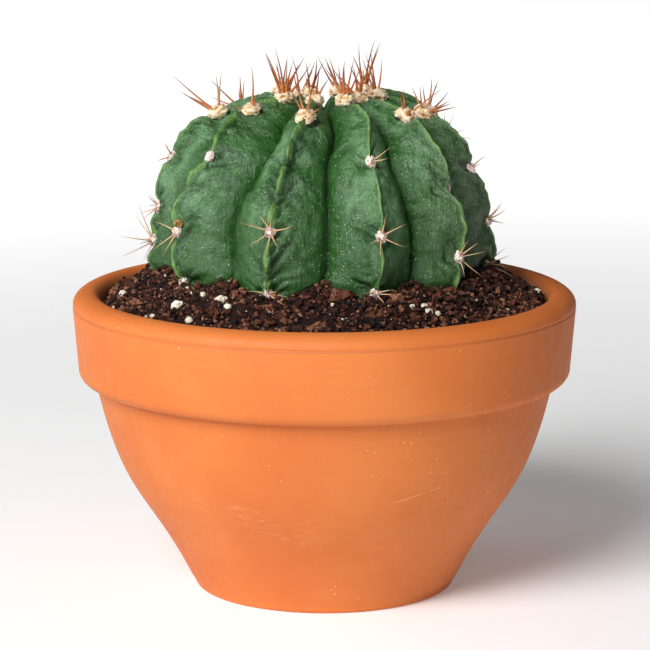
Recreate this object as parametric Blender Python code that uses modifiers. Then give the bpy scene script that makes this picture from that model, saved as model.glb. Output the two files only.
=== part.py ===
"""Ribbed ball cactus standing in heaped soil in a clay bowl pot.

The origin is on the pot's axis in the plane it rests on, +Z is up and the front is -Y.
"""

import math
import random

import bmesh
import bpy
from mathutils import Matrix, Vector
from mathutils.bvhtree import BVHTree
from mathutils.geometry import interpolate_bezier, intersect_point_line

GAP = 0.0003

# Clay pot
POT_HEIGHT = 0.1076
RIM_RADIUS = 0.0900
RIM_CROWN_RADIUS = 0.0835
RIM_INNER_RADIUS = 0.0798
RIM_LINE = 0.1030
BAND_RADIUS = 0.0882
BAND_FOOT = 0.0759
BAND_CORNER = 0.0042
NECK_RADIUS = 0.0822
FOOT_RADIUS = 0.0470
FOOT_ROUND = 0.0018
WALL = 0.0080
FLOOR = 0.0080
HOLE_RADIUS = 0.0090
POT_STEPS = 48
WALL_STEPS = 5
SIDE_STEPS = 9

# Curves of the pot's side and inside, as radius and height
SIDE_TOP_DROP = 0.0004
SIDE_HANDLES = ((0.0732, 0.0336), (0.0648, 0.0368))
SIDE_END = (0.0488, 0.0046)
FLOOR_EDGE_RADIUS = 0.0370
INSIDE_HANDLES = ((0.0560, 0.0260), (0.0660, 0.0360))

# Soil
SOIL_EDGE_HEIGHT = 0.1020
SOIL_HEAP_HEIGHT = 0.1120
HEAP_RADIUS = 0.0795
HEAP_REACH = 0.0200
HEAP_CURVE = 0.8
SOIL_LUMP = 0.0009
SOIL_SIDE_GAP = 0.0006
SOIL_RINGS = (0.0740, 0.0685, 0.0635)
HOLE_GAP = 1.5 * GAP

# Cactus stem, with angles in degrees down from the crown
RIB_COUNT = 10
STEM_RADIUS = 0.0620
STEM_OFFSET_X = -0.0010
WAIST_HEIGHT = 0.1250
CROWN_RISE = 0.0530
FOOT_DROP = 0.0360
ROUNDNESS = 2.3
DIMPLE_DEPTH = 0.0110
DIMPLE_RADIUS = 0.0090
ROOT_LENGTH = 0.0120
ROOT_START = 160.0
ROOT_REACH = 16.0
FURROW_DEPTH = 0.0125
FOOT_FURROW_DEPTH = 0.0085
FOOT_FURROW_REACH = 16.0
FURROW_FADE_START = 106.0
FURROW_FADE_REACH = 60.0
CREST_SLOPE = 0.65
NOTCH_DEPTH = 0.0018
NOTCH_REACH = 4.0
FULL_NOTCH_ANGLE = 40.0
RIB_STEPS = 8
RING_STEPS = 28
SOIL_LINE = 108.0

# Rings of the stem's mesh that carry the six tiers of areoles, then the foot and the root
TIER_RINGS = (3, 6, 10, 13, 16, 20)
FOOT_RING = 22
FOOT_ANGLE = 112.0

# Each rib: its bearing from the front at the four stations, how full its shoulder is in
# millimetres, and the angle and kind of its six tiers
STATIONS = (20.0, 50.0, 80.0, 104.0)
RIBS = [
    ((-10, -14, -17, -18), 0.5,
     ((10, "crown"), (26, "wool"), (50, "bare"), (66, "bare"), (79, "star"), (103, "star"))),
    ((31, 20, 20, 18), 0.5,
     ((12, "crown"), (30, "plain"), (51, "tuft"), (66, "plain"), (81, "star"), (103, "star"))),
    ((63, 53, 54, 50), 1.5,
     ((11, "crown"), (30, "wool"), (48, "plain"), (66, "bare"), (90, "star"), (104, "plain"))),
    ((104, 87, 90, 90), 1.5,
     ((16, "crown"), (33, "wool"), (50, "plain"), (62, "tuft"), (84, "star"), (102, "star"))),
    ((124, 122, 126, 126), 5.0,
     ((14, "crown"), (42, "wool"), (55, "star"), (68, "plain"), (82, "star"), (102, "star"))),
    ((158, 160, 162, 162), 1.0,
     ((12, "crown"), (27, "wool"), (47, "star"), (64, "bare"), (80, "star"), (102, "star"))),
    ((196, 197, 198, 198), 0.5,
     ((11, "crown"), (25, "wool"), (49, "star"), (66, "plain"), (78, "star"), (102, "star"))),
    ((232, 234, 234, 234), 1.0,
     ((14, "crown"), (33, "wool"), (48, "tuft"), (63, "plain"), (81, "star"), (102, "star"))),
    ((264, 270, 270, 272), 2.0,
     ((12, "plain"), (33, "wool"), (58, "tuft"), (79, "tuft"), (90, "star"), (104, "plain"))),
    ((298, 310, 303, 306), 1.5,
     ((11, "crown"), (24, "wool"), (52, "tuft"), (66, "plain"), (83, "star"), (103, "star"))),
]

# Each kind of areole: half length and half width of its felt, its height, how many spines,
# how far they stand up from the stem, their lengths and the radius at their foot
KINDS = {
    "crown": dict(
        felt=(0.0036, 0.0031, 0.0024), spines=6, lift=(42, 78), length=(0.009, 0.019), radius=0.00062,
    ),
    "wool": dict(
        felt=(0.0038, 0.0032, 0.0024), spines=5, lift=(25, 65), length=(0.008, 0.016), radius=0.00058,
    ),
    "star": dict(
        felt=(0.0021, 0.0018, 0.0015), spines=7, lift=(18, 34), length=(0.007, 0.012), radius=0.00048,
    ),
    "tuft": dict(
        felt=(0.0019, 0.0016, 0.0014), spines=4, lift=(18, 40), length=(0.005, 0.010), radius=0.00048,
    ),
}

# Spines chosen one by one, by rib and tier: bearing from straight up the crest and lift off the
# stem in degrees, and length in millimetres. The other areoles draw theirs from their kind.
CHOSEN_SPINES = {
    (0, 0): ((0, 60, 13), (-80, 65, 10), (100, 55, 9)),
    (0, 1): ((25, 60, 10), (-35, 55, 13), (-50, 35, 8), (100, 25, 7)),
    (0, 4): ((-75, 22, 11), (-30, 25, 8), (15, 25, 7), (75, 22, 12),
             (-130, 25, 10), (178, 25, 9), (140, 25, 8)),
    (0, 5): ((-65, 22, 8), (10, 25, 9), (55, 25, 8), (80, 20, 10), (95, 30, 10), (-100, 20, 13)),
    (1, 0): ((20, 50, 15), (35, 60, 15), (-30, 60, 14), (-150, 62, 14), (100, 60, 13), (60, 60, 16)),
    (1, 2): ((70, 30, 8), (110, 30, 6), (-175, 30, 8)),
    (1, 4): ((0, 25, 9), (60, 30, 10), (120, 25, 9), (-160, 25, 9), (-110, 25, 8)),
    (1, 5): ((-60, 25, 8), (55, 25, 7), (85, 20, 12), (-140, 30, 5), (140, 30, 6)),
    (2, 1): ((-40, 50, 9), (10, 50, 9), (105, 35, 17), (-120, 30, 9)),
    (2, 4): ((-20, 30, 9), (45, 25, 8), (80, 25, 10), (135, 20, 12), (-150, 25, 8)),
    (3, 0): ((-20, 55, 15), (20, 65, 15), (65, 65, 16), (105, 65, 13)),
    (3, 3): ((85, 30, 8), (-60, 30, 5)),
    (3, 4): ((-55, 30, 9), (-10, 30, 6), (110, 25, 10), (30, 30, 8)),
    (4, 1): ((20, 60, 11), (95, 60, 12), (140, 50, 14), (160, 35, 12), (60, 40, 10)),
    (5, 0): ((60, 60, 15), (110, 60, 13), (10, 65, 14)),
    (6, 0): ((40, 65, 13), (-40, 60, 14), (0, 65, 15)),
    (8, 1): ((180, 62, 20), (-165, 48, 15), (165, 48, 13), (0, 65, 12), (10, 55, 14)),
    (8, 4): ((10, 15, 15), (-10, 28, 11), (60, 65, 11), (170, 60, 12), (180, 18, 8), (90, 25, 8)),
    (9, 0): ((180, 53, 17), (170, 64, 18), (-90, 78, 14), (100, 75, 13), (-20, 70, 13), (20, 60, 15)),
    (9, 1): ((0, 70, 14), (180, 20, 8), (40, 40, 6)),
    (9, 2): (),
    (9, 4): ((-70, 25, 9), (-140, 25, 12), (170, 30, 10)),
    (9, 5): ((80, 20, 7), (-155, 25, 5), (20, 30, 5)),
}
SPINE_SIDES = 3
FELT_SIDES = 8
FELT_RINGS = 4
FELT_BELLY = 0.30
SPINE_ROOT_LEVEL = 0.55
SEAT_REACH = 0.7
PROBE_HEIGHT = 0.02
SEED = 11
SPREAD_TURN = 14
SPINE_CLEARANCE = 0.0013
FELT_CLEARANCE = 0.0050

# How a spine gives way to what is near it: raised by steps, turned aside, then shortened
RAISE_STEP = 6
SIDE_TURNS = (0, 16, -16)
SHORTER = (1.0, 0.8, 0.6)


def remove_everything():
    for item in list(bpy.data.objects):
        bpy.data.objects.remove(item, do_unlink=True)


def new_material(name, color, roughness):
    material = bpy.data.materials.new(name)
    material.use_nodes = True
    shader = material.node_tree.nodes["Principled BSDF"]
    shader.inputs["Base Color"].default_value = (*color, 1.0)
    shader.inputs["Roughness"].default_value = roughness
    shader.inputs["Metallic"].default_value = 0.0
    material.diffuse_color = (*color, 1.0)
    return material


def new_collection(name):
    collection = bpy.data.collections.new(name)
    bpy.context.scene.collection.children.link(collection)
    return collection


def add_object(name, mesh, material, collection):
    item = bpy.data.objects.new(name, mesh)
    mesh.materials.append(material)
    collection.objects.link(item)
    return item


def mesh_from(bm, name):
    mesh = bpy.data.meshes.new(name)
    bm.to_mesh(mesh)
    bm.free()
    mesh.shade_smooth()
    mesh.set_sharp_from_angle(angle=math.radians(40))
    return mesh


def mix(start, end, part):
    return start + (end - start) * part


def bezier(start, handle_a, handle_b, end, steps):
    """Points of one curve in the profile's plane, radius first and height second."""
    corners = [Vector((p[0], p[1], 0)) for p in (start, handle_a, handle_b, end)]
    return [(p.x, p.y) for p in interpolate_bezier(*corners, steps + 1)]


def arc(centre, radii, start, end, steps):
    """Points of part of an ellipse, with angles in degrees from the outer side."""
    points = []
    for step in range(steps + 1):
        angle = math.radians(mix(start, end, step / steps))
        points.append((centre[0] + radii[0] * math.cos(angle), centre[1] + radii[1] * math.sin(angle)))
    return points


def inner_wall(steps):
    """The pot's inside, from the edge of its floor up to the rim."""
    throat = (NECK_RADIUS - WALL, BAND_FOOT)
    return bezier((FLOOR_EDGE_RADIUS, FLOOR), *INSIDE_HANDLES, throat, steps)


def throat_radius(height):
    """Radius of the straight stretch of the inside behind the band."""
    part = (height - BAND_FOOT) / (RIM_LINE - BAND_FOOT)
    return mix(NECK_RADIUS - WALL, RIM_INNER_RADIUS, part)


def pot_profile():
    """The pot's outline from the inner edge of its rim, down its outer side and back up inside."""
    crown = (RIM_CROWN_RADIUS, RIM_LINE)
    dome = POT_HEIGHT - RIM_LINE
    corner = (BAND_RADIUS - BAND_CORNER, BAND_FOOT + BAND_CORNER)
    foot = (FOOT_RADIUS - FOOT_ROUND, FOOT_ROUND)
    points = arc(crown, (RIM_CROWN_RADIUS - RIM_INNER_RADIUS, dome), 180, 90, 4)
    points += arc(crown, (RIM_RADIUS - RIM_CROWN_RADIUS, dome), 90, 0, 5)[1:]
    points += arc(corner, (BAND_CORNER, BAND_CORNER), 0, -80, 3)
    points += bezier((NECK_RADIUS, BAND_FOOT - SIDE_TOP_DROP), *SIDE_HANDLES, SIDE_END, SIDE_STEPS)
    points += arc(foot, (FOOT_ROUND, FOOT_ROUND), 0, -90, 2)
    points += [(HOLE_RADIUS, 0.0), (HOLE_RADIUS, FLOOR)]
    points += inner_wall(WALL_STEPS)
    return points


def make_pot(material, collection):
    """The pot is one closed outline turned about its axis."""
    mesh = bpy.data.meshes.new("pot")
    profile = pot_profile()
    count = len(profile)
    edges = [(step, (step + 1) % count) for step in range(count)]
    mesh.from_pydata([(radius, 0.0, height) for radius, height in profile], edges, [])
    pot = add_object("pot", mesh, material, collection)
    turn = pot.modifiers.new("turn", "SCREW")
    turn.axis = "Z"
    turn.angle = math.tau
    turn.steps = POT_STEPS
    turn.render_steps = POT_STEPS
    turn.use_merge_vertices = True
    turn.merge_threshold = 0.00001
    turn.use_smooth_shade = True
    return pot


def rib_bearing(rib, angle):
    """Bearing of a crest, in degrees, eased from station to station."""
    turns, index = divmod(rib, RIB_COUNT)
    bearings = RIBS[index][0]
    angle = min(max(angle, STATIONS[0]), STATIONS[-1])
    step = next(step for step in range(len(STATIONS) - 1) if angle <= STATIONS[step + 1])
    part = (angle - STATIONS[step]) / (STATIONS[step + 1] - STATIONS[step])
    eased = 0.5 - 0.5 * math.cos(math.pi * part)
    return mix(bearings[step], bearings[step + 1], eased) + 360.0 * turns


def tier_angle(rib, ring):
    """Angle down a rib of one ring of its mesh, which runs through the rib's own tiers."""
    tiers = RIBS[rib % RIB_COUNT][2]
    rings = (0, *TIER_RINGS, FOOT_RING, RING_STEPS)
    angles = (0.0, *[tier[0] for tier in tiers], FOOT_ANGLE, 180.0)
    step = next(step for step in range(len(rings) - 1) if ring <= rings[step + 1])
    part = (ring - rings[step]) / (rings[step + 1] - rings[step])
    return mix(angles[step], angles[step + 1], part)


def crest(angle, fullness):
    """Radius and height of a crest line, with its shoulder, the sunken crown and the root neck."""
    turn = math.radians(angle)
    radius = STEM_RADIUS * abs(math.sin(turn)) ** (2 / ROUNDNESS)
    level = abs(math.cos(turn)) ** (2 / ROUNDNESS)
    if angle < 90:
        swell = fullness * math.sin(2 * turn) ** 2
        height = WAIST_HEIGHT + CROWN_RISE * level + swell * math.cos(turn)
        height -= DIMPLE_DEPTH * math.exp(-(radius / DIMPLE_RADIUS) ** 2)
        radius += swell * math.sin(turn)
    else:
        height = WAIST_HEIGHT - FOOT_DROP * level
        height -= ROOT_LENGTH * min(max((angle - ROOT_START) / ROOT_REACH, 0.0), 1.0)
    return radius, height


def crest_normal(angle, fullness):
    """Outward direction in the crest's own upright plane."""
    before = Vector(crest(max(angle - 0.5, 0.0), fullness))
    after = Vector(crest(min(angle + 0.5, 179.9), fullness))
    along = (after - before).normalized()
    return Vector((-along.y, along.x))


def furrow_depth(angle):
    """How deep the furrows lie below the crests, shallower at the foot and gone at the root."""
    if angle < 90:
        return FURROW_DEPTH * math.sin(math.radians(angle)) ** 0.5
    fade = min((angle - 90) / FOOT_FURROW_REACH, 1.0)
    depth = mix(FURROW_DEPTH, FOOT_FURROW_DEPTH, fade)
    return depth * max(0.0, 1 - max(0.0, angle - FURROW_FADE_START) / FURROW_FADE_REACH)


def notch(rib, angle):
    """How deep a crest is nicked near its areoles."""
    depth = 0.0
    for place, kind in RIBS[rib % RIB_COUNT][2]:
        if kind != "plain":
            size = min(1.0, place / FULL_NOTCH_ANGLE)
            depth += size * NOTCH_DEPTH * math.exp(-((angle - place) / NOTCH_REACH) ** 2)
    return depth


def stem_point(along, angle, gap=0.0):
    """Point of the stem at a place counted in ribs round it and an angle down it."""
    left = math.floor(along)
    part = along - left
    bearing = math.radians(mix(rib_bearing(left, angle), rib_bearing(left + 1, angle), part))
    fullness = mix(RIBS[left % RIB_COUNT][1], RIBS[(left + 1) % RIB_COUNT][1], part) / 1000
    side = abs(2 * (along - round(along)))
    sink = furrow_depth(angle) * (CREST_SLOPE * side + (1 - CREST_SLOPE) * side ** 3)
    sink += notch(round(along), angle) * (1 - side) ** 2
    radius, height = crest(angle, fullness)
    normal = crest_normal(angle, fullness)
    radius -= normal.x * (sink - gap)
    height -= normal.y * (sink - gap)
    return Vector((STEM_OFFSET_X + radius * math.sin(bearing), -radius * math.cos(bearing), height))


def ribs_round(point):
    """How many ribs round the stem a point lies."""
    bearing = math.degrees(math.atan2(point.x, -point.y))
    return (bearing % 360.0) / (360.0 / RIB_COUNT) + 0.5


def ring_angle(along, ring):
    """Angle down the stem of one ring of its mesh, between the two ribs beside a place."""
    left = math.floor(along)
    return mix(tier_angle(left, ring), tier_angle(left + 1, ring), along - left)


def make_stem(material, collection):
    """A ball of rings and segments whose points are moved out to the ribbed form."""
    bm = bmesh.new()
    bmesh.ops.create_uvsphere(bm, u_segments=RIB_COUNT * RIB_STEPS, v_segments=RING_STEPS, radius=1.0)
    for vertex in bm.verts:
        ring = math.acos(max(-1.0, min(1.0, vertex.co.z))) / math.pi * RING_STEPS
        along = round(ribs_round(vertex.co) * RIB_STEPS) / RIB_STEPS
        if round(ring) in (0, RING_STEPS):
            along = 0.0
        vertex.co = stem_point(along, ring_angle(along, round(ring)))
    bmesh.ops.triangulate(bm, faces=bm.faces)
    return add_object("stem", mesh_from(bm, "stem"), material, collection)


def soil_height(radius, bearing):
    """Height of the heaped soil, with low lumps."""
    part = min(max((HEAP_RADIUS - radius) / HEAP_REACH, 0.0), 1.0)
    height = mix(SOIL_EDGE_HEIGHT, SOIL_HEAP_HEIGHT, part ** HEAP_CURVE)
    lumps = math.sin(5 * bearing + 180 * radius) + math.sin(9 * bearing + 1.3 - 260 * radius)
    lumps += 0.8 * math.sin(14 * bearing + 2.1 + 400 * radius)
    return height + SOIL_LUMP * lumps * (1 - 0.5 * part)


def turned_point(radius, bearing, height):
    return Vector((radius * math.sin(bearing), -radius * math.cos(bearing), height))


def soil_column(along):
    """Points of the soil's outline at one bearing, from below the root, up the wall and into the hole."""
    bearing = math.radians((along - 0.5) * 360.0 / RIB_COUNT)
    edge = soil_height(RIM_INNER_RADIUS, bearing)
    points = [Vector((0.0, 0.0, FLOOR + GAP))]
    for radius, height in inner_wall(WALL_STEPS):
        points.append(turned_point(radius - SOIL_SIDE_GAP, bearing, max(height, FLOOR + GAP)))
    points.append(turned_point(throat_radius(edge) - SOIL_SIDE_GAP, bearing, edge))
    for radius in SOIL_RINGS:
        points.append(turned_point(radius, bearing, soil_height(radius, bearing)))
    points.append(stem_point(along, SOIL_LINE, HOLE_GAP))
    for ring in range(FOOT_RING, RING_STEPS + 1):
        points.append(stem_point(along, ring_angle(along, ring), HOLE_GAP))
    return points


def make_soil(material, collection):
    """Soil that fills the pot, with its top heaped, lofted round to the stem's plain hole."""
    bm = bmesh.new()
    steps = RIB_COUNT * RIB_STEPS
    columns = [[bm.verts.new(point) for point in soil_column(step / RIB_STEPS)] for step in range(steps)]
    for column, after in zip(columns, columns[1:] + columns[:1]):
        for low in range(len(column) - 1):
            bm.faces.new((column[low], after[low], after[low + 1], column[low + 1]))
    bmesh.ops.remove_doubles(bm, verts=bm.verts, dist=0.00001)
    bmesh.ops.triangulate(bm, faces=bm.faces)
    bmesh.ops.recalc_face_normals(bm, faces=bm.faces)
    return add_object("soil", mesh_from(bm, "soil"), material, collection)


def areole_frame(rib, angle, surface, reach):
    """Axes of an areole: across the crest, up along it and out of the stem, and its seat."""
    bearing = math.radians(rib_bearing(rib, angle))
    normal = crest_normal(angle, RIBS[rib][1] / 1000)
    out = Vector((normal.x * math.sin(bearing), -normal.x * math.cos(bearing), normal.y))
    across = Vector((math.cos(bearing), math.sin(bearing), 0.0))
    up = out.cross(across)
    middle = stem_point(rib, angle)
    highest = -1.0
    for step in range(13):
        turn = step * math.tau / 12
        spread = 0.0 if step == 12 else reach
        start = middle + spread * (math.cos(turn) * across + math.sin(turn) * up) + PROBE_HEIGHT * out
        hit = surface.ray_cast(start, -out)[0]
        if hit is not None:
            highest = max(highest, (hit - middle).dot(out))
    return Matrix((across, up, out)).transposed().to_4x4(), middle + (highest + GAP) * out


def spine_plan(rib, tier):
    """Bearing from straight up the crest, lift off the stem and length of each spine."""
    if (rib, tier) in CHOSEN_SPINES:
        return [(bearing, lift, length / 1000) for bearing, lift, length in CHOSEN_SPINES[rib, tier]]
    settings = KINDS[RIBS[rib][2][tier][1]]
    draw = random.Random(SEED + 10 * rib + tier)
    spines = []
    for step in range(settings["spines"]):
        bearing = 360.0 * (step + 0.5) / settings["spines"] + draw.uniform(-SPREAD_TURN, SPREAD_TURN)
        spines.append((bearing, draw.uniform(*settings["lift"]), draw.uniform(*settings["length"])))
    return spines


def spine_is_clear(root, tip, seat, surface, seats, others):
    """True where a spine misses the soil, the stem, the other pads of felt and their spines."""
    for step in range(2, 9):
        point = root.lerp(tip, step / 8)
        radius = math.hypot(point.x, point.y)
        if point.z < soil_height(radius, math.atan2(point.x, -point.y)) + SPINE_CLEARANCE:
            return False
        if step > 3 and surface.find_nearest(point)[3] < SPINE_CLEARANCE:
            return False
        for place in seats:
            if (place - seat).length > 0.0001 and (place - point).length < FELT_CLEARANCE:
                return False
        for start, end in others:
            part = intersect_point_line(point, start, end)[1]
            near = start.lerp(end, min(max(part, 0.0), 1.0))
            if (near - point).length < SPINE_CLEARANCE:
                return False
    return surface.ray_cast(root.lerp(tip, 0.3), tip - root, (tip - root).length)[0] is None


def bend_clear(root, axes, seat, plan, surface, seats, others):
    """Direction and length of a spine, raised off the stem or shortened until nothing is in its way."""
    bearing, lift, length = plan
    for reach in [share * length for share in SHORTER]:
        for raised in range(int(lift), 90, RAISE_STEP):
            for turned in SIDE_TURNS:
                turn = math.radians(bearing + turned)
                rise = math.radians(raised)
                flat = math.cos(rise)
                local = Vector((flat * math.sin(turn), flat * math.cos(turn), math.sin(rise)))
                tip = root + axes.to_3x3() @ local * reach
                if spine_is_clear(root, tip, seat, surface, seats, others):
                    return local, reach, tip
    return None


def add_cone(name, axes, seat, direction, length, radius, material, collection):
    bm = bmesh.new()
    bmesh.ops.create_cone(
        bm, cap_ends=True, segments=SPINE_SIDES, radius1=radius, radius2=0.0, depth=length
    )
    bmesh.ops.translate(bm, verts=bm.verts, vec=(0.0, 0.0, length / 2))
    turn = direction.to_track_quat("Z", "Y").to_matrix().to_4x4()
    bmesh.ops.transform(bm, matrix=Matrix.Translation(seat) @ axes @ turn, verts=bm.verts)
    mesh = bpy.data.meshes.new(name)
    bm.to_mesh(mesh)
    bm.free()
    return add_object(name, mesh, material, collection)


def make_felt(name, axes, seat, size, material, collection):
    """A low pad, rounded on top and flatter below."""
    half_length, half_width, felt_height = size
    bm = bmesh.new()
    bmesh.ops.create_uvsphere(bm, u_segments=FELT_SIDES, v_segments=FELT_RINGS, radius=1.0)
    for vertex in bm.verts:
        level = FELT_BELLY + max(vertex.co.z, 0.0) + FELT_BELLY * min(vertex.co.z, 0.0)
        vertex.co = Vector((vertex.co.x * half_width, vertex.co.y * half_length, level * felt_height))
    bmesh.ops.transform(bm, matrix=Matrix.Translation(seat) @ axes, verts=bm.verts)
    return add_object(name, mesh_from(bm, name), material, collection)


def join_with(item, tools):
    """One solid of an object and what a collection holds."""
    join = item.modifiers.new("join", "BOOLEAN")
    join.operation = "UNION"
    join.operand_type = "COLLECTION"
    join.collection = tools
    join.solver = "EXACT"
    join.material_mode = "TRANSFER"
    bpy.context.view_layer.update()
    joined = bpy.data.meshes.new_from_object(item.evaluated_get(bpy.context.evaluated_depsgraph_get()))
    item.modifiers.clear()
    item.data = joined
    for tool in list(tools.objects):
        bpy.data.objects.remove(tool, do_unlink=True)
    bpy.data.collections.remove(tools)


def make_areoles(stem, felt_material, spine_material, collection):
    """Pads of felt along the crests, each joined with its own spines."""
    bpy.context.view_layer.update()
    surface = BVHTree.FromObject(stem, bpy.context.evaluated_depsgraph_get())
    heads = []
    for rib in range(RIB_COUNT):
        for tier in range(len(TIER_RINGS)):
            angle, kind = RIBS[rib][2][tier]
            if kind in KINDS:
                axes, seat = areole_frame(rib, angle, surface, KINDS[kind]["felt"][1] * SEAT_REACH)
                heads.append((rib, tier, kind, axes, seat))
    seats = [head[4] for head in heads]
    grown = []
    for rib, tier, kind, axes, seat in heads:
        settings = KINDS[kind]
        name = f"areole_{rib + 1:02d}_{tier + 1}"
        felt = make_felt(name, axes, seat, settings["felt"], felt_material, collection)
        felt.data.materials.append(spine_material)
        root = seat + axes.to_3x3() @ Vector((0.0, 0.0, SPINE_ROOT_LEVEL * settings["felt"][2]))
        tools = new_collection("spines_to_join")
        own = []
        for number, plan in enumerate(spine_plan(rib, tier)):
            found = bend_clear(root, axes, seat, plan, surface, seats, grown)
            if found:
                direction, length, tip = found
                own.append((root, tip))
                add_cone(f"spine_{number}", axes, root, direction, length,
                         settings["radius"], spine_material, tools)
        grown += own
        join_with(felt, tools)


def main():
    remove_everything()
    parts = new_collection("potted_cactus")
    clay = new_material("terracotta", (0.62, 0.22, 0.09), 0.75)
    earth = new_material("potting_soil", (0.030, 0.016, 0.012), 0.95)
    skin = new_material("cactus_skin", (0.030, 0.110, 0.050), 0.50)
    felt = new_material("areole_felt", (0.720, 0.520, 0.360), 0.95)
    spine = new_material("spine", (0.420, 0.170, 0.090), 0.55)

    make_pot(clay, parts)
    stem = make_stem(skin, parts)
    make_soil(earth, parts)
    make_areoles(stem, felt, spine, parts)


main()
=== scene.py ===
import math
import random

import bmesh
import bpy
from mathutils import Matrix, Vector, noise
from mathutils.bvhtree import BVHTree
from mathutils.geometry import interpolate_bezier


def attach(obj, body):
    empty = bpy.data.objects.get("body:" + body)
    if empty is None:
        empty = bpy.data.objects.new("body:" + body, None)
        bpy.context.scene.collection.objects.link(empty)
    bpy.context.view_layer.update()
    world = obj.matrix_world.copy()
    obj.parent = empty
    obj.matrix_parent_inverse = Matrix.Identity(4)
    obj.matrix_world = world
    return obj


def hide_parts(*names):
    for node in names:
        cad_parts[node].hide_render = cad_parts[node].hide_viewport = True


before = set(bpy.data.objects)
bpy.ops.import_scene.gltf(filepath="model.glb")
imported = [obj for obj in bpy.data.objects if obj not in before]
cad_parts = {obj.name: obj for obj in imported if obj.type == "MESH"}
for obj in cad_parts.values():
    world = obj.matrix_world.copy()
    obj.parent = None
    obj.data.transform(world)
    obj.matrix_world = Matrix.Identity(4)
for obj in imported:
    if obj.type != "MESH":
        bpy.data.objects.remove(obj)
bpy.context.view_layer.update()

print("frame loaded")


# Small helpers

def mix(start, end, part):
    return start + (end - start) * part


def limit(value, low=0.0, high=1.0):
    return min(max(value, low), high)


def bell(distance, reach):
    return math.exp(-(distance / reach) ** 2)


def ease(value, low, high):
    part = limit((value - low) / (high - low))
    return part * part * (3 - 2 * part)


def meshFrom(name, bm):
    mesh = bpy.data.meshes.new(name)
    bm.to_mesh(mesh)
    bm.free()
    return mesh


# Surface that rays are cast at. Its faces are sorted, because operators leave them in any order.
def surfaceOf(bm):
    outlines = []
    for face in bm.faces:
        corners = [tuple(vertex.co) for vertex in face.verts]
        first = corners.index(min(corners))
        outlines.append(corners[first:] + corners[:first])
    points = []
    for corners in sorted(outlines):
        for second, third in zip(corners[1:], corners[2:]):
            points += [corners[0], second, third]
    return BVHTree.FromPolygons(points, [(step, step + 1, step + 2) for step in range(0, len(points), 3)])


def finishPiece(name, bm, finishes, nodes=(), sharpAngle=None, smooth=True):
    mesh = meshFrom(name, bm)
    if smooth:
        mesh.shade_smooth()
    if sharpAngle:
        mesh.set_sharp_from_angle(angle=math.radians(sharpAngle))
    for finish in finishes:
        mesh.materials.append(finish.material)
    piece = bpy.data.objects.new(name, mesh)
    bpy.context.scene.collection.objects.link(piece)
    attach(piece, "root")
    if nodes:
        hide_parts(*nodes)


# A value in a material. Sums, differences and products of values add their own Math nodes.

class Value:
    def __init__(self, finish, socket):
        self.finish = finish
        self.socket = socket

    def math(self, operation, first, second):
        return self.finish.node("ShaderNodeMath", {"operation": operation}, {0: first, 1: second})

    def __add__(self, other):
        return self.math("ADD", self, other)

    def __radd__(self, other):
        return self.math("ADD", other, self)

    def __sub__(self, other):
        return self.math("SUBTRACT", self, other)

    def __rsub__(self, other):
        return self.math("SUBTRACT", other, self)

    def __mul__(self, other):
        return self.math("MULTIPLY", self, other)

    def __rmul__(self, other):
        return self.math("MULTIPLY", other, self)

    def apart(self, other):
        return self.math("ABSOLUTE", self - other, 0.0)


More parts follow.
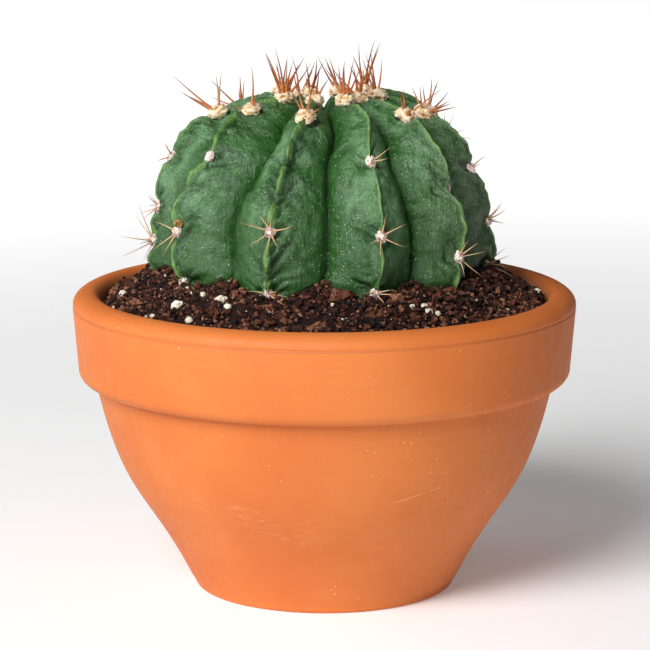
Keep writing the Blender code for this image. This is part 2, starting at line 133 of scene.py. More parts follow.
class Finish:
    def __init__(self, name, fixed):
        self.material = bpy.data.materials.new(name)
        self.material.use_nodes = True
        self.tree = self.material.node_tree
        self.shader = self.tree.nodes["Principled BSDF"]
        for socket, value in fixed.items():
            self.shader.inputs[socket].default_value = value
        self.place = self.node("ShaderNodeTexCoord", output="Object")

    def node(self, kind, settings=None, inputs=None, output=0):
        made = self.tree.nodes.new(kind)
        for name, value in (settings or {}).items():
            if name == "stops":
                for step, (position, color) in enumerate(value):
                    while len(made.color_ramp.elements) <= step:
                        made.color_ramp.elements.new(1.0)
                    made.color_ramp.elements[step].position = position
                    made.color_ramp.elements[step].color = (*color, 1.0)
            else:
                setattr(made, name, value)
        for name, value in (inputs or {}).items():
            if isinstance(value, Value):
                self.tree.links.new(value.socket, made.inputs[name])
            else:
                made.inputs[name].default_value = value
        return Value(self, made.outputs[output])

    def feed(self, socket, value):
        self.tree.links.new(value.socket, self.shader.inputs[socket])

    def grain(self, scale, detail=3.0, roughness=0.55, warp=0.0, place=None):
        inputs = {"Vector": place or self.place, "Scale": scale, "Detail": detail,
                  "Roughness": roughness, "Distortion": warp}
        return self.node("ShaderNodeTexNoise", None, inputs, "Fac")

    def cells(self, scale):
        return self.node("ShaderNodeTexVoronoi", None, {"Vector": self.place, "Scale": scale}, "Distance")

    def stretched(self, x, y, z):
        return self.node("ShaderNodeMapping", None, {"Vector": self.place, "Scale": (x, y, z)})

    def fade(self, value, low, high, start=0.0, end=1.0):
        settings = {"clamp": True, "interpolation_type": "SMOOTHSTEP"}
        return self.node("ShaderNodeMapRange", settings, {0: value, 1: low, 2: high, 3: start, 4: end})

    def near(self, spot, inner, outer):
        inputs = {0: self.place, 1: spot}
        distance = self.node("ShaderNodeVectorMath", {"operation": "DISTANCE"}, inputs, "Value")
        return self.fade(distance, inner, outer, 1.0, 0.0)

    def own(self, name):
        return self.node("ShaderNodeAttribute", {"attribute_name": name}, None, "Fac")

    def height(self):
        return self.node("ShaderNodeSeparateXYZ", None, {0: self.place}, "Z")

    def side(self):
        return self.node("ShaderNodeSeparateXYZ", None, {0: self.place}, "X")

    def radius(self):
        flat = self.node("ShaderNodeVectorMath", {"operation": "MULTIPLY"}, {0: self.place, 1: (1, 1, 0)})
        return self.node("ShaderNodeVectorMath", {"operation": "LENGTH"}, {0: flat}, "Value")

    def ramp(self, value, *stops):
        return self.node("ShaderNodeValToRGB", {"stops": stops}, {0: value})

    def blend(self, share, first, second, how="MIX"):
        inputs = {0: share, 6: first, 7: second}
        for name in (6, 7):
            if not isinstance(inputs[name], Value):
                inputs[name] = (*inputs[name], 1.0)
        return self.node("ShaderNodeMix", {"data_type": "RGBA", "blend_type": how}, inputs, 2)

    def layered(self, tint, *layers):  # each layer is its share and its colour, from the lowest up
        for share, color in layers:
            tint = self.blend(share, tint, color)
        return tint

    def bump(self, height, distance, strength=1.0, normal=None):
        inputs = {"Height": height, "Distance": distance, "Strength": strength}
        if normal:
            inputs["Normal"] = normal
        return self.node("ShaderNodeBump", None, inputs)


# Clay pot

potForm = dict(
    height=0.1076,
    rimRadius=0.0900,
    crownRadius=0.0835,
    innerRadius=0.0798,
    rimLine=0.1030,
    lineDepth=0.00022,
    lineReach=0.0005,
    bandRadius=0.0882,
    bandFoot=0.0759,
    bandCorner=0.0042,
    neckRadius=0.0822,
    neckDrop=0.0004,
    sideHandles=((0.0732, 0.0336), (0.0648, 0.0368)),
    sideEnd=(0.0488, 0.0046),
    footRadius=0.0470,
    footRound=0.0018,
    wall=0.0080,
    floor=0.0080,
    floorEdge=0.0370,
    insideHandles=((0.0560, 0.0260), (0.0660, 0.0360)),
    holeRadius=0.0090,
    steps=240,
    sharpAngle=35,
)


def arc(centre, radii, start, end, steps):
    points = []
    for step in range(steps + 1):
        angle = math.radians(mix(start, end, step / steps))
        points.append((centre[0] + radii[0] * math.cos(angle), centre[1] + radii[1] * math.sin(angle)))
    return points


def curve(start, handles, end, steps):
    corners = [Vector((*point, 0.0)) for point in (start, *handles, end)]
    return [(point.x, point.y) for point in interpolate_bezier(*corners, steps + 1)]


def insideWall(steps):
    form = potForm
    throat = (form["neckRadius"] - form["wall"], form["bandFoot"])
    return curve((form["floorEdge"], form["floor"]), form["insideHandles"], throat, steps)


def throatRadius(height):
    form = potForm
    part = (height - form["bandFoot"]) / (form["rimLine"] - form["bandFoot"])
    return mix(form["neckRadius"] - form["wall"], form["innerRadius"], part)


def potProfile():
    form = potForm
    crown = (form["crownRadius"], form["rimLine"])
    dome = form["height"] - form["rimLine"]
    corner = (form["bandRadius"] - form["bandCorner"], form["bandFoot"] + form["bandCorner"])
    foot = (form["footRadius"] - form["footRound"], form["footRound"])
    points = arc(crown, (form["crownRadius"] - form["innerRadius"], dome), 180, 90, 12)
    points += arc(crown, (form["rimRadius"] - form["crownRadius"], dome), 90, 0, 16)[1:]
    for drop, share in ((0.5, 0.3), (1.0, 1.0), (1.5, 0.3), (2.2, 0.0)):  # fine line under the rim
        level = form["rimLine"] - drop * form["lineReach"]
        points.append((form["rimRadius"] - share * form["lineDepth"], level))
    points += arc(corner, (form["bandCorner"], form["bandCorner"]), 0, -80, 10)
    top = (form["neckRadius"], form["bandFoot"] - form["neckDrop"])
    points += curve(top, form["sideHandles"], form["sideEnd"], 44)
    points += arc(foot, (form["footRound"], form["footRound"]), 0, -90, 6)
    points += [(form["holeRadius"], 0.0), (form["holeRadius"], form["floor"])]
    points += insideWall(24)
    return points


def makePot(finish):
    bm = bmesh.new()
    ring = [bm.verts.new((radius, 0.0, height)) for radius, height in potProfile()]
    edges = [bm.edges.new((start, end)) for start, end in zip(ring, ring[1:] + ring[:1])]
    bmesh.ops.spin(
        bm, geom=ring + edges, cent=(0, 0, 0), axis=(0, 0, 1), dvec=(0, 0, 0),
        angle=math.tau, steps=potForm["steps"], use_merge=True, use_duplicate=False,
    )
    bmesh.ops.recalc_face_normals(bm, faces=bm.faces)
    finishPiece("clayPot", bm, [finish], ["pot"], potForm["sharpAngle"])


def terracottaFinish():
    look = dict(
        clay=(0.650, 0.170, 0.030),
        pale=(0.740, 0.230, 0.055),
        deep=(0.550, 0.125, 0.022),
        bloom=(0.860, 0.520, 0.330),
        # dark brown for the grit specks, and for the painted shade line in the groove under the rim
        dark=(0.300, 0.080, 0.030),
        scuffs=(((-0.0118, -0.0658, 0.0347), 0.011), ((-0.0255, -0.0645, 0.0386), 0.012)),
        scratch=dict(centre=(0.0319, -0.0666, 0.0479), reach=0.0095, slope=0.26, width=0.00028),
        # height of a painted shade line along the fine groove under the rim
        grooveShadeHeight=0.1021,
        innerEdge=0.0800,
        dust=(0.640, 0.300, 0.150),
    )
    clay = Finish("terracotta", {"Roughness": 0.62, "Specular IOR Level": 0.42})
    rings = clay.grain(1.0, 4, 0.6, place=clay.stretched(14, 14, 420))  # marks of the turning wheel
    grit = clay.fade(clay.cells(430), 0.06, 0.15, 1.0, 0.0) * clay.fade(clay.grain(90, 2), 0.52, 0.62)
    chalk = clay.fade(clay.cells(310), 0.05, 0.14, 1.0, 0.0) * clay.fade(clay.grain(60, 2), 0.53, 0.64)
    streaks = clay.fade(clay.grain(1.0, 5, 0.75, place=clay.stretched(150, 150, 640)), 0.52, 0.66)
    scuffs = [(clay.near(spot, reach * 0.2, reach) * streaks * 0.26, look["bloom"])
              for spot, reach in look["scuffs"]]
    scratch = look["scratch"]
    centre = scratch["centre"]
    line = (clay.height() - centre[2]) - (clay.side() - centre[0]) * scratch["slope"]
    mark = clay.fade(line.apart(0.0), scratch["width"] * 0.3, scratch["width"], 1.0, 0.0)
    mark = mark * clay.fade(clay.grain(420, 3), 0.38, 0.56)
    mark = mark * clay.near(centre, scratch["reach"] * 0.8, scratch["reach"])
    inside = clay.fade(clay.radius(), look["innerEdge"], look["innerEdge"] + 0.0012, 1.0, 0.0)
    inside = inside * clay.fade(clay.height(), 0.080, 0.085)
    tint = clay.layered(
        look["deep"],
        (clay.fade(clay.grain(16, 3), 0.35, 0.68), look["pale"]),
        (0.62, look["clay"]),
        (clay.fade(rings, 0.35, 0.75, 0.0, 0.14), look["deep"]),
        (clay.fade(clay.grain(620, 3, 0.7), 0.5, 0.8, 0.0, 0.20), look["pale"]),
        (grit * 0.45, look["dark"]),
        (chalk * 0.7, look["bloom"]),
        *scuffs,
        (mark * 0.45, look["bloom"]),
        (inside * clay.fade(clay.grain(300, 4, 0.7), 0.3, 0.7, 0.10, 0.50), look["dust"]),
        # painted shade: a thin darker line along the fine groove under the rim
        (clay.fade(clay.height().apart(look["grooveShadeHeight"]), 0.0002, 0.0006, 0.30, 0.0), look["dark"]),
    )
    clay.feed("Base Color", tint)
    clay.feed("Roughness", clay.fade(clay.grain(240, 4), 0.3, 0.7, 0.54, 0.70))
    waves = clay.bump(rings, 0.00022, 0.35)
    clay.feed("Normal", clay.bump(clay.grain(1500, 3, 0.7) + grit * -0.8, 0.00012, 0.5, waves))
    return clay


# Cactus stem: ten ribs, each with its bearings at four stations, how full its shoulder is in
# millimetres, and the angle down from the crown and the kind of its six tiers

ribs = [
    ((-10, -14, -17, -18), 0.5,
     ((10, "crown"), (26, "wool"), (50, "bare"), (66, "bare"), (79, "star"), (103, "star"))),
    ((31, 20, 20, 18), 0.5,
     ((12, "crown"), (30, "plain"), (51, "tuft"), (66, "plain"), (81, "star"), (103, "star"))),
    ((63, 53, 54, 50), 1.5,
     ((11, "crown"), (30, "wool"), (48, "plain"), (66, "bare"), (90, "star"), (104, "plain"))),
    ((104, 87, 90, 90), 1.5,
     ((16, "crown"), (33, "wool"), (50, "plain"), (62, "tuft"), (84, "star"), (102, "star"))),
    ((124, 122, 126, 126), 5.0,
     ((14, "crown"), (42, "wool"), (55, "star"), (68, "plain"), (82, "star"), (102, "star"))),
    ((158, 160, 162, 162), 1.0,
     ((12, "crown"), (27, "wool"), (47, "star"), (64, "bare"), (80, "star"), (102, "star"))),
    ((196, 197, 198, 198), 0.5,
     ((11, "crown"), (25, "wool"), (49, "star"), (66, "plain"), (78, "star"), (102, "star"))),
    ((232, 234, 234, 234), 1.0,
     ((14, "crown"), (33, "wool"), (48, "tuft"), (63, "plain"), (81, "star"), (102, "star"))),
    ((264, 270, 270, 272), 2.0,
     ((12, "plain"), (33, "wool"), (58, "tuft"), (79, "tuft"), (90, "star"), (104, "plain"))),
    ((298, 310, 303, 306), 1.5,
     ((11, "crown"), (24, "wool"), (52, "tuft"), (66, "plain"), (83, "star"), (103, "star"))),
]

stemForm = dict(
    stations=(20.0, 50.0, 80.0, 104.0),
    radius=0.0620,
    offsetX=-0.0010,
    waistHeight=0.1250,
    crownRise=0.0530,
    footDrop=0.0360,
    roundness=2.3,
    dimpleDepth=0.0110,
    dimpleRadius=0.0090,
    rootLength=0.0120,
    rootStart=160.0,
    rootReach=16.0,
    furrowDepth=0.0125,
    footFurrowDepth=0.0085,
    footFurrowReach=16.0,
    furrowFadeStart=106.0,
    furrowFadeReach=60.0,
    crestSlope=0.65,
    notchDepth=0.0018,
    notchReach=4.0,
    fullNotchAngle=40.0,
)

stemDetail = dict(
    sideStops=(0, 0.012, 0.024, 0.037, 0.051, 0.066, 0.083, 0.104, 0.13, 0.162, 0.2, 0.245, 0.3,
               0.36, 0.43, 0.505, 0.58, 0.655, 0.73, 0.8, 0.86, 0.91, 0.95, 0.98, 1),
    rings=190,
    shownAngle=120.0,
    shownShare=0.90,
    dropAngle=112.0,
    beadEnd=118.0,
    beadGroove=0.00028,
    beadHeight=0.00120,
    beadWidth=0.00135,
    beadSizes=(1.2, 0.55, 0.58, 0.55, 0.7, 0.75, 0.9, 0.7, 0.55, 0.85),
    beadWander=0.00045,
    bareFolds=((93,), (), (), (72,), (93,), (), (91,), (), (), (67,)),
    slims={3: (66, 16, 0.0016), 4: (66, 18, 0.0020), 8: (72, 15, 0.0013)},
    crestShifts={2: (68, 12, -2.4)},
    furrowShifts={0: ((34, 15, 9.0),), 1: ((96, 20, 1.6),), 2: ((50, 14, -2.0), (97, 24, 2.6))},
    flatness=0.0011,
    creaseStart=20,
    creaseDepth=0.00150,
    creaseWidth=0.95,
    creaseRise=(9.0, 32.0),
    creaseLength=(0.22, 0.55),
    lipHeight=0.00085,
    dentDepth=0.00150,
    lobeShare=0.7,
    swell=0.00110,
    dents=0.00080,
    crinkle=0.00042,
    furrowCut=0.0011,
    furrowLip=0.00045,
    furrowWander=1.4,
    seed=5,
)


def ribBearing(rib, angle):
    turns, index = divmod(rib, len(ribs))
    bearings = ribs[index][0]
    stations = stemForm["stations"]
    angle = limit(angle, stations[0], stations[-1])
    step = next(step for step in range(len(stations) - 1) if angle <= stations[step + 1])
    part = (angle - stations[step]) / (stations[step + 1] - stations[step])
    eased = 0.5 - 0.5 * math.cos(math.pi * part)
    return mix(bearings[step], bearings[step + 1], eased) + 360.0 * turns


def crest(angle, fullness):
    form = stemForm
    turn = math.radians(angle)
    radius = form["radius"] * abs(math.sin(turn)) ** (2 / form["roundness"])
    level = abs(math.cos(turn)) ** (2 / form["roundness"])
    if angle < 90:
        swell = fullness * math.sin(2 * turn) ** 2
        height = form["waistHeight"] + form["crownRise"] * level + swell * math.cos(turn)
        height -= form["dimpleDepth"] * bell(radius, form["dimpleRadius"])
        radius += swell * math.sin(turn)
    else:
        height = form["waistHeight"] - form["footDrop"] * level
        height -= form["rootLength"] * limit((angle - form["rootStart"]) / form["rootReach"])
    return radius, height


def crestNormal(angle, fullness):
    before = Vector(crest(max(angle - 0.5, 0.0), fullness))
    after = Vector(crest(min(angle + 0.5, 179.9), fullness))
    along = (after - before).normalized()
    return Vector((-along.y, along.x))


def furrowDepth(angle):
    form = stemForm
    if angle < 90:
        return form["furrowDepth"] * math.sin(math.radians(angle)) ** 0.5
    fade = min((angle - 90) / form["footFurrowReach"], 1.0)
    depth = mix(form["furrowDepth"], form["footFurrowDepth"], fade)
    return depth * max(0.0, 1 - max(0.0, angle - form["furrowFadeStart"]) / form["furrowFadeReach"])


def notch(rib, angle):
    form = stemForm
    depth = 0.0
    for place, kind in ribs[rib % len(ribs)][2]:
        if kind != "plain":
            size = min(1.0, place / form["fullNotchAngle"])
            depth += size * form["notchDepth"] * bell(angle - place, form["notchReach"])
    return depth


# The plain form of the stem, and its form with what lies on it raised by `lift`
def stemPoint(along, angle, lift=0.0, turned=0.0):
    form = stemForm
    left = math.floor(along)
    part = along - left
    bearing = math.radians(mix(ribBearing(left, angle), ribBearing(left + 1, angle), part) + turned)
    fullness = mix(ribs[left % len(ribs)][1], ribs[(left + 1) % len(ribs)][1], part) / 1000
    side = abs(2 * (along - round(along)))
    sink = furrowDepth(angle) * (form["crestSlope"] * side + (1 - form["crestSlope"]) * side ** 3)
    sink += notch(round(along), angle) * (1 - side) ** 2
    radius, height = crest(angle, fullness)
    normal = crestNormal(angle, fullness)
    radius += normal.x * (lift - sink)
    height += normal.y * (lift - sink)
    return Vector((form["offsetX"] + radius * math.sin(bearing), -radius * math.cos(bearing), height))


# Nicks that break a crest, and creases that run up and outwards from each on both of its faces
def drawCreases():
    detail = stemDetail
    draw = random.Random(detail["seed"])
    grown = []
    for rib, folds in zip(ribs, detail["bareFolds"]):
        nicks = sorted([place for place, kind in rib[2] if kind != "plain"] + list(folds))
        faces = []
        for face in range(2):
            lines = []
            for place in nicks:
                for extra in range(3):
                    rise = draw.uniform(*detail["creaseRise"])
                    reach = draw.uniform(*detail["creaseLength"])
                    power = draw.uniform(0.5, 1.15) * (1.0, 0.7, 0.6)[extra]
                    lip = draw.choice((-2.2, 2.4))
                    if place > detail["creaseStart"]:
                        start = place - 0.6 + extra * draw.uniform(2.5, 5.0)
                        lines.append((start, rise, reach, power, lip, draw.uniform(0, 20)))
            faces.append(lines)
        swells = [draw.uniform(0.5, 1.2) for nick in nicks]
        grown.append(dict(nicks=nicks, faces=faces, swells=swells))
    return grown


# How strong the bead on a crest is: it swells between two nicks and breaks off at each
def beadStrength(nicks, rib, angle):
    for start, end in zip(nicks, nicks[1:] + [stemDetail["beadEnd"]]):
        if start < angle < end:
            part = limit((angle - start - 1.2) / (end - start - 2.2))
            body = limit(part / 0.22) ** 0.7 * limit((1 - part) / 0.06) ** 0.5
            return body * (0.85 + 0.45 * noise.noise(Vector((rib * 5.7, angle * 0.13, 8.1))))
    return 0.35 * ease(angle, 6, 14)


# How far the skin stands out at a place, and the masks that its colours follow, among them the painted
# shade of its folds and the bead that is painted lighter
def skinDetail(along, angle, grown):
    detail = stemDetail
    nearest = round(along)
    offset = 2 * (along - nearest)
    side = abs(offset)
    rib = nearest % len(ribs)
    growth = grown[rib]
    shown = ease(angle, 4, 16) * (1 - ease(angle, 108, 118))
    spot = stemPoint(along, angle)
    halfArc = math.pi / len(ribs) * math.hypot(spot.x - stemForm["offsetX"], spot.y)
    cut = (1 - side) * halfArc
    size = detail["beadSizes"][rib]
    wander = detail["beadWander"] * noise.noise(Vector((rib * 9.1, angle * 0.13, 3.3)))
    strength = limit(beadStrength(growth["nicks"], rib, angle), 0.0, 1.3) * shown
    across = (offset * halfArc - wander) / (detail["beadWidth"] * size * max(strength, 0.05) ** 0.4)
    keel = math.sqrt(max(0.0, 1 - across * across)) * strength
    lift = detail["beadHeight"] * size * keel
    lift -= detail["beadGroove"] * size * bell(abs(across) - 1.35, 0.45) * strength
    lift -= detail["flatness"] * math.sin(math.pi * side ** 0.8) * ease(angle, 10, 35)
    if rib in detail["slims"]:
        place, reach, depth = detail["slims"][rib]
        lift -= depth * bell(angle - place, reach) * (1 - side)
    # mask for painted shade in the grooves beside the bead, the creases and the crinkles
    foldShade = 0.5 * bell(abs(across) - 1.3, 0.35) * strength
    for start, rise, reach, power, lipSide, phase in growth["faces"][0 if offset < 0 else 1]:
        line = start - rise * side ** 0.85 + 1.2 * noise.noise(Vector((phase, side * 4.5, rib)))
        if abs(angle - line) < 9:
            fade = limit(side / 0.03) * (1 - ease(side, 0.4 * reach, reach)) * power * shown
            depth = bell(angle - line, detail["creaseWidth"] * (1 + side)) * fade
            lift -= detail["creaseDepth"] * depth
            lift += detail["lipHeight"] * bell(angle - line - lipSide, 1.5) * fade
            foldShade = max(foldShade, depth)
    for place, power in zip(growth["nicks"], growth["swells"]):
        if place > detail["creaseStart"]:
            dent = bell(angle - place - 1.5 + 8 * side, 5.0) * bell(side - 0.20, 0.20)
            lift -= detail["dentDepth"] * power * dent * shown
            lobe = detail["lobeShare"] * detail["dentDepth"] * power * bell(angle - place - 9, 4.5)
            lift += lobe * bell(side - 0.28, 0.22) * shown
    vein = noise.noise(Vector((rib * 3.1 + offset * 1.3, (angle + 16 * side) * 0.19, 17.0)))
    crinkle = (1 - min(abs(vein) * 5, 1.0)) ** 2 * ease(side, 0.03, 0.15)
    crinkle = crinkle * (1 - ease(side, 0.6, 0.9)) * shown
    lift -= detail["crinkle"] * crinkle
    lift += detail["swell"] * noise.noise(spot * 105) * ease(side, 0.05, 0.35) * shown
    lift += detail["dents"] * noise.noise(spot * 290 + Vector((4, 1, 7))) * shown
    edge = 0.6 + 0.8 * noise.noise(Vector((rib * 2.3 + offset, angle * 0.05, 5.0)))
    lift -= detail["furrowCut"] * bell(cut, 0.0009) * shown
    lift += detail["furrowLip"] * bell(cut - 0.0024, 0.0011) * limit(edge) * ease(angle, 35, 60) * shown
    furrow = round(along + 0.5) % len(ribs)
    turned = detail["furrowWander"] * noise.noise(Vector((furrow * 4.4, angle * 0.07, 1.0)))
    for place, reach, shift in detail["furrowShifts"].get(furrow, ()):
        turned += shift * bell(angle - place, reach)
    turned *= side ** 3 * shown
    if rib in detail["crestShifts"]:
        place, reach, shift = detail["crestShifts"][rib]
        turned += shift * bell(angle - place, reach) * (1 - side)
    return lift, turned, keel, limit(foldShade + 0.3 * crinkle), side


# A ball as a grid of vertices: rings from the top down, and columns round it from the front
def ballGrid(bm, count, rings):
    bmesh.ops.create_uvsphere(bm, u_segments=count, v_segments=rings, radius=1.0)
    for vertex in bm.verts:
        ring = round(math.acos(limit(vertex.co.z, -1.0, 1.0)) / math.pi * rings)
        bearing = math.degrees(math.atan2(vertex.co.x, -vertex.co.y)) % 360.0
        yield vertex, ring, round(bearing / 360.0 * count)


def stemAngle(ring):
    detail = stemDetail
    part = ring / detail["rings"]
    if part < detail["shownShare"]:
        return detail["shownAngle"] * part / detail["shownShare"]
    return mix(detail["shownAngle"], 180.0, (part - detail["shownShare"]) / (1 - detail["shownShare"]))


def makeStem(finish):
    detail = stemDetail
    stops = detail["sideStops"]
    half = len(stops) - 1
    count = 2 * half * len(ribs)
    grown = drawCreases()
    bm = bmesh.new()
    layers = [bm.verts.layers.float.new(name) for name in ("keel", "foldShade", "side", "drop")]
    for vertex, ring, column in ballGrid(bm, count, detail["rings"]):
        angle = stemAngle(ring)
        along = 0.0
        if 0 < ring < detail["rings"]:  # closer together at crests and furrows
            whole, step = divmod(column + half, 2 * half)
            along = whole + (0.5 * stops[step] if step <= half else 1 - 0.5 * stops[2 * half - step])
        lift, turned, keel, foldShade, side = skinDetail(along, angle, grown)
        vertex.co = stemPoint(along, angle, lift, turned)
        for layer, value in zip(layers, (keel, foldShade, side, angle / detail["dropAngle"])):
            vertex[layer] = value
    bmesh.ops.recalc_face_normals(bm, faces=bm.faces)
    surface = surfaceOf(bm)
    finishPiece("cactusStem", bm, [finish], ["stem"])
    return surface


def skinFinish():
    look = dict(
        deep=(0.008, 0.050, 0.005),
        green=(0.030, 0.122, 0.016),
        # pale bluish green of the waxy bloom, also used to paint the sheen of the light on the wax
        bloom=(0.125, 0.262, 0.115),
        # lighter green of the bead on a crest, partly its own colour and partly painted highlight
        keel=(0.145, 0.290, 0.060),
        # deep saturated green painted into the furrows as their shade and as light shining through the
        # skin
        furrowShadeAndGlow=(0.010, 0.074, 0.003),
        # deep green near the soil, partly the skin's own colour and partly painted shade
        foot=(0.011, 0.066, 0.004),
        # near-black green used for painted shade in the furrows and creases
        dark=(0.004, 0.016, 0.004),
        # painted light: a paler, greyer olive for the right-hand side of the stem
        paintedRightLight=(0.088, 0.100, 0.055),
        speck=(0.520, 0.620, 0.450),
    )
    skin = Finish("cactus_skin", {"Specular IOR Level": 0.55})
    side = skin.own("side")
    drop = skin.own("drop")
    cloudy = skin.grain(170, 5, 0.65, 0.4)
    mottle = skin.grain(480, 4, 0.75, 0.5)
    fine = skin.grain(1350, 3, 0.75)
    streaks = skin.grain(1.0, 4, 0.6, place=skin.stretched(520, 520, 90))
    patches = skin.grain(42, 4, 0.6, 0.6) * 0.5 + cloudy * 0.5
    # waxy bloom and painted sheen: paler patches, strongest near the crests and on the middle of the
    # stem, fading at the crown and towards the soil
    waxAndSheen = skin.fade(skin.grain(70, 5, 0.60, 0.5), 0.40, 0.62) * skin.fade(side, 0.50, 0.88, 1.0, 0.06)
    waxAndSheen = waxAndSheen * skin.fade(drop, 0.08, 0.35, 0.35, 1.0) * skin.fade(drop, 0.62, 0.92, 1.0, 0.20)
    dots = skin.fade(skin.cells(640), 0.075, 0.145, 1.0, 0.0) * skin.fade(skin.grain(90, 2), 0.38, 0.54)
    flecks = skin.fade(skin.cells(210), 0.035, 0.065, 1.0, 0.0) * skin.fade(skin.grain(31, 2), 0.46, 0.56)
    tint = skin.layered(
        look["deep"],
        (skin.fade(patches, 0.42, 0.57), look["green"]),
        (waxAndSheen * 0.85, look["bloom"]),
        # painted light: the skin on the right-hand side is made paler and greyer, as light from the right
        # would show it
        (skin.fade(skin.side(), 0.022, 0.052, 0.0, 0.5), look["paintedRightLight"]),
        (skin.fade(mottle, 0.50, 0.66, 0.0, 0.34), look["bloom"]),
        (skin.fade(mottle, 0.50, 0.34, 0.0, 0.50), look["deep"]),
        (skin.fade(fine, 0.51, 0.62, 0.0, 0.42), look["bloom"]),
        (skin.fade(fine, 0.49, 0.38, 0.0, 0.55), look["deep"]),
        # darker, deeper green towards the soil: partly the skin's own colour, partly painted shade near
        # the soil
        (skin.fade(drop, 0.55, 0.90, 0.0, 0.74), look["foot"]),
        (skin.fade(streaks, 0.55, 0.78, 0.0, 0.14), look["bloom"]),
        # painted shade and glow: towards each furrow the skin turns a darker, saturated green
        (skin.fade(side, 0.52, 0.90, 0.0, 0.90), look["furrowShadeAndGlow"]),
        # painted shade: the bottom of each furrow is darkened
        (skin.fade(side, 0.960, 1.0, 0.0, 0.90), look["dark"]),
        # painted shade: darker along the creases, beside the bead and in the crinkles
        (skin.fade(skin.own("foldShade"), 0.1, 0.9, 0.0, 0.7), look["dark"]),
        # the bead along each crest is painted a lighter green, partly its own colour and partly painted
        # highlight where it stands into the light
        (skin.fade(skin.own("keel"), 0.35, 0.95, 0.0, 0.72), look["keel"]),
        (dots * 0.9, look["speck"]),
        (flecks * 0.9, look["speck"]),
    )
    skin.feed("Base Color", tint)
    skin.feed("Roughness", skin.fade(cloudy, 0.3, 0.7, 0.30, 0.50))
    pores = skin.bump(fine + mottle * 0.7, 0.00032, 0.8)
    skin.feed("Normal", skin.bump(cloudy + streaks * 0.4, 0.00200, 0.8, pores))
    return skin


# Soil, heaped round the stem

soilForm = dict(
    edgeHeight=0.1020,
    heapHeight=0.1120,
    heapRadius=0.0795,
    heapReach=0.0200,
    heapCurve=0.8,
    lump=0.0009,
    sideGap=0.0006,
    gap=0.0003,
    holeGap=0.00045,
    crestLine=106.5,
    furrowLine=103.2,
    lineWander=2.0,
    columns=320,
    wallSteps=10,
    topSteps=26,
    holeSteps=10,
    clods=0.0016,
    crumbRing=(0.0440, 0.0795),
)


def soilHeight(radius, bearing):
    form = soilForm
    part = limit((form["heapRadius"] - radius) / form["heapReach"])
    height = mix(form["edgeHeight"], form["heapHeight"], part ** form["heapCurve"])
    lumps = math.sin(5 * bearing + 180 * radius) + math.sin(9 * bearing + 1.3 - 260 * radius)
    lumps += 0.8 * math.sin(14 * bearing + 2.1 + 400 * radius)
    return height + form["lump"] * lumps * (1 - 0.5 * part)


def turnedPoint(radius, bearing, height):
    return Vector((radius * math.sin(bearing), -radius * math.cos(bearing), height))


# Angle on the stem up to which the soil is heaped: higher in the furrows
def soilLine(along):
    side = abs(2 * (along - round(along)))
    bearing = along * math.tau / len(ribs)
    wander = noise.noise(Vector((4 * math.cos(bearing), 4 * math.sin(bearing), 2.0)))
    line = mix(soilForm["crestLine"], soilForm["furrowLine"], side ** 1.2)
    return line + soilForm["lineWander"] * wander


def soilColumn(along):
    form = soilForm
    bearing = math.radians((along - 0.5) * 360.0 / len(ribs))
    base = potForm["floor"] + form["gap"]
    edge = soilHeight(potForm["innerRadius"], bearing)
    rim = throatRadius(edge) - form["sideGap"]
    points = [Vector((0.0, 0.0, base))]
    for radius, height in insideWall(form["wallSteps"]):
        points.append(turnedPoint(radius - form["sideGap"], bearing, max(height, base)))
    start = turnedPoint(rim, bearing, edge)
    line = soilLine(along)
    end = stemPoint(along, line, form["holeGap"])
    for step in range(form["topSteps"]):
        part = step / form["topSteps"]
        point = start.lerp(end, part)
        radius = math.hypot(point.x, point.y)
        height = mix(soilHeight(radius, math.atan2(point.x, -point.y)), end.z, ease(part, 0.5, 1.0))
        clods = noise.noise(point * 330) + 0.6 * noise.noise(point * 780)
        point.z = height + form["clods"] * clods * ease(part, 0.0, 0.1) * (1 - ease(part, 0.9, 1.0))
        points.append(point)
    points.append(end)
    for step in range(1, form["holeSteps"] + 1):
        angle = mix(line, 180.0, (step / form["holeSteps"]) ** 1.3)
        points.append(stemPoint(along, angle, form["holeGap"]))
    return points


def makeSoil(finish):
    count = soilForm["columns"]
    columns = [soilColumn(step * len(ribs) / count) for step in range(count)]
    rings = len(columns[0]) - 1
    bm = bmesh.new()
    for vertex, ring, column in ballGrid(bm, count, rings):
        step = 0 if ring == rings else (column + count // (2 * len(ribs))) % count
        vertex.co = columns[step][ring]
    bmesh.ops.recalc_face_normals(bm, faces=bm.faces)
    surface = surfaceOf(bm)
    finishPiece("soilBed", bm, [finish], ["soil"])
    return surface


# Crumbs, chips and grains: each is a rough ball, and batches of them are gathered into one mesh
def gatherLumps(places, fineness, roughness):
    whole = bmesh.new()
    batch = 60
    for first in range(0, len(places), batch):
        bm = bmesh.new()
        toneLayer = bm.verts.layers.float.new("tone")
        for number, (place, tone) in enumerate(places[first:first + batch]):
            made = bmesh.ops.create_icosphere(bm, subdivisions=fineness, radius=1.0)["verts"]
            shift = Vector((first + number, 0.37 * number, 5.0))
            for vertex in made:
                swell = 1 + roughness * noise.noise(vertex.co * 1.3 + shift * 3.1)
                swell += 0.5 * roughness * noise.noise(vertex.co * 3.1 + shift * 1.7)
                vertex.co = place @ (vertex.co * swell)
                vertex[toneLayer] = tone
        mesh = meshFrom("batch", bm)
        whole.from_mesh(mesh)
        bpy.data.meshes.remove(mesh)
    return whole


def lumpPlace(centre, sizes, draw):
    turn = Matrix.Rotation(draw.uniform(0, math.tau), 4, "Z")
    turn = turn @ Matrix.Rotation(draw.uniform(-0.9, 0.9), 4, "X")
    return Matrix.Translation(centre) @ turn @ Matrix.Diagonal((*sizes, 1.0))


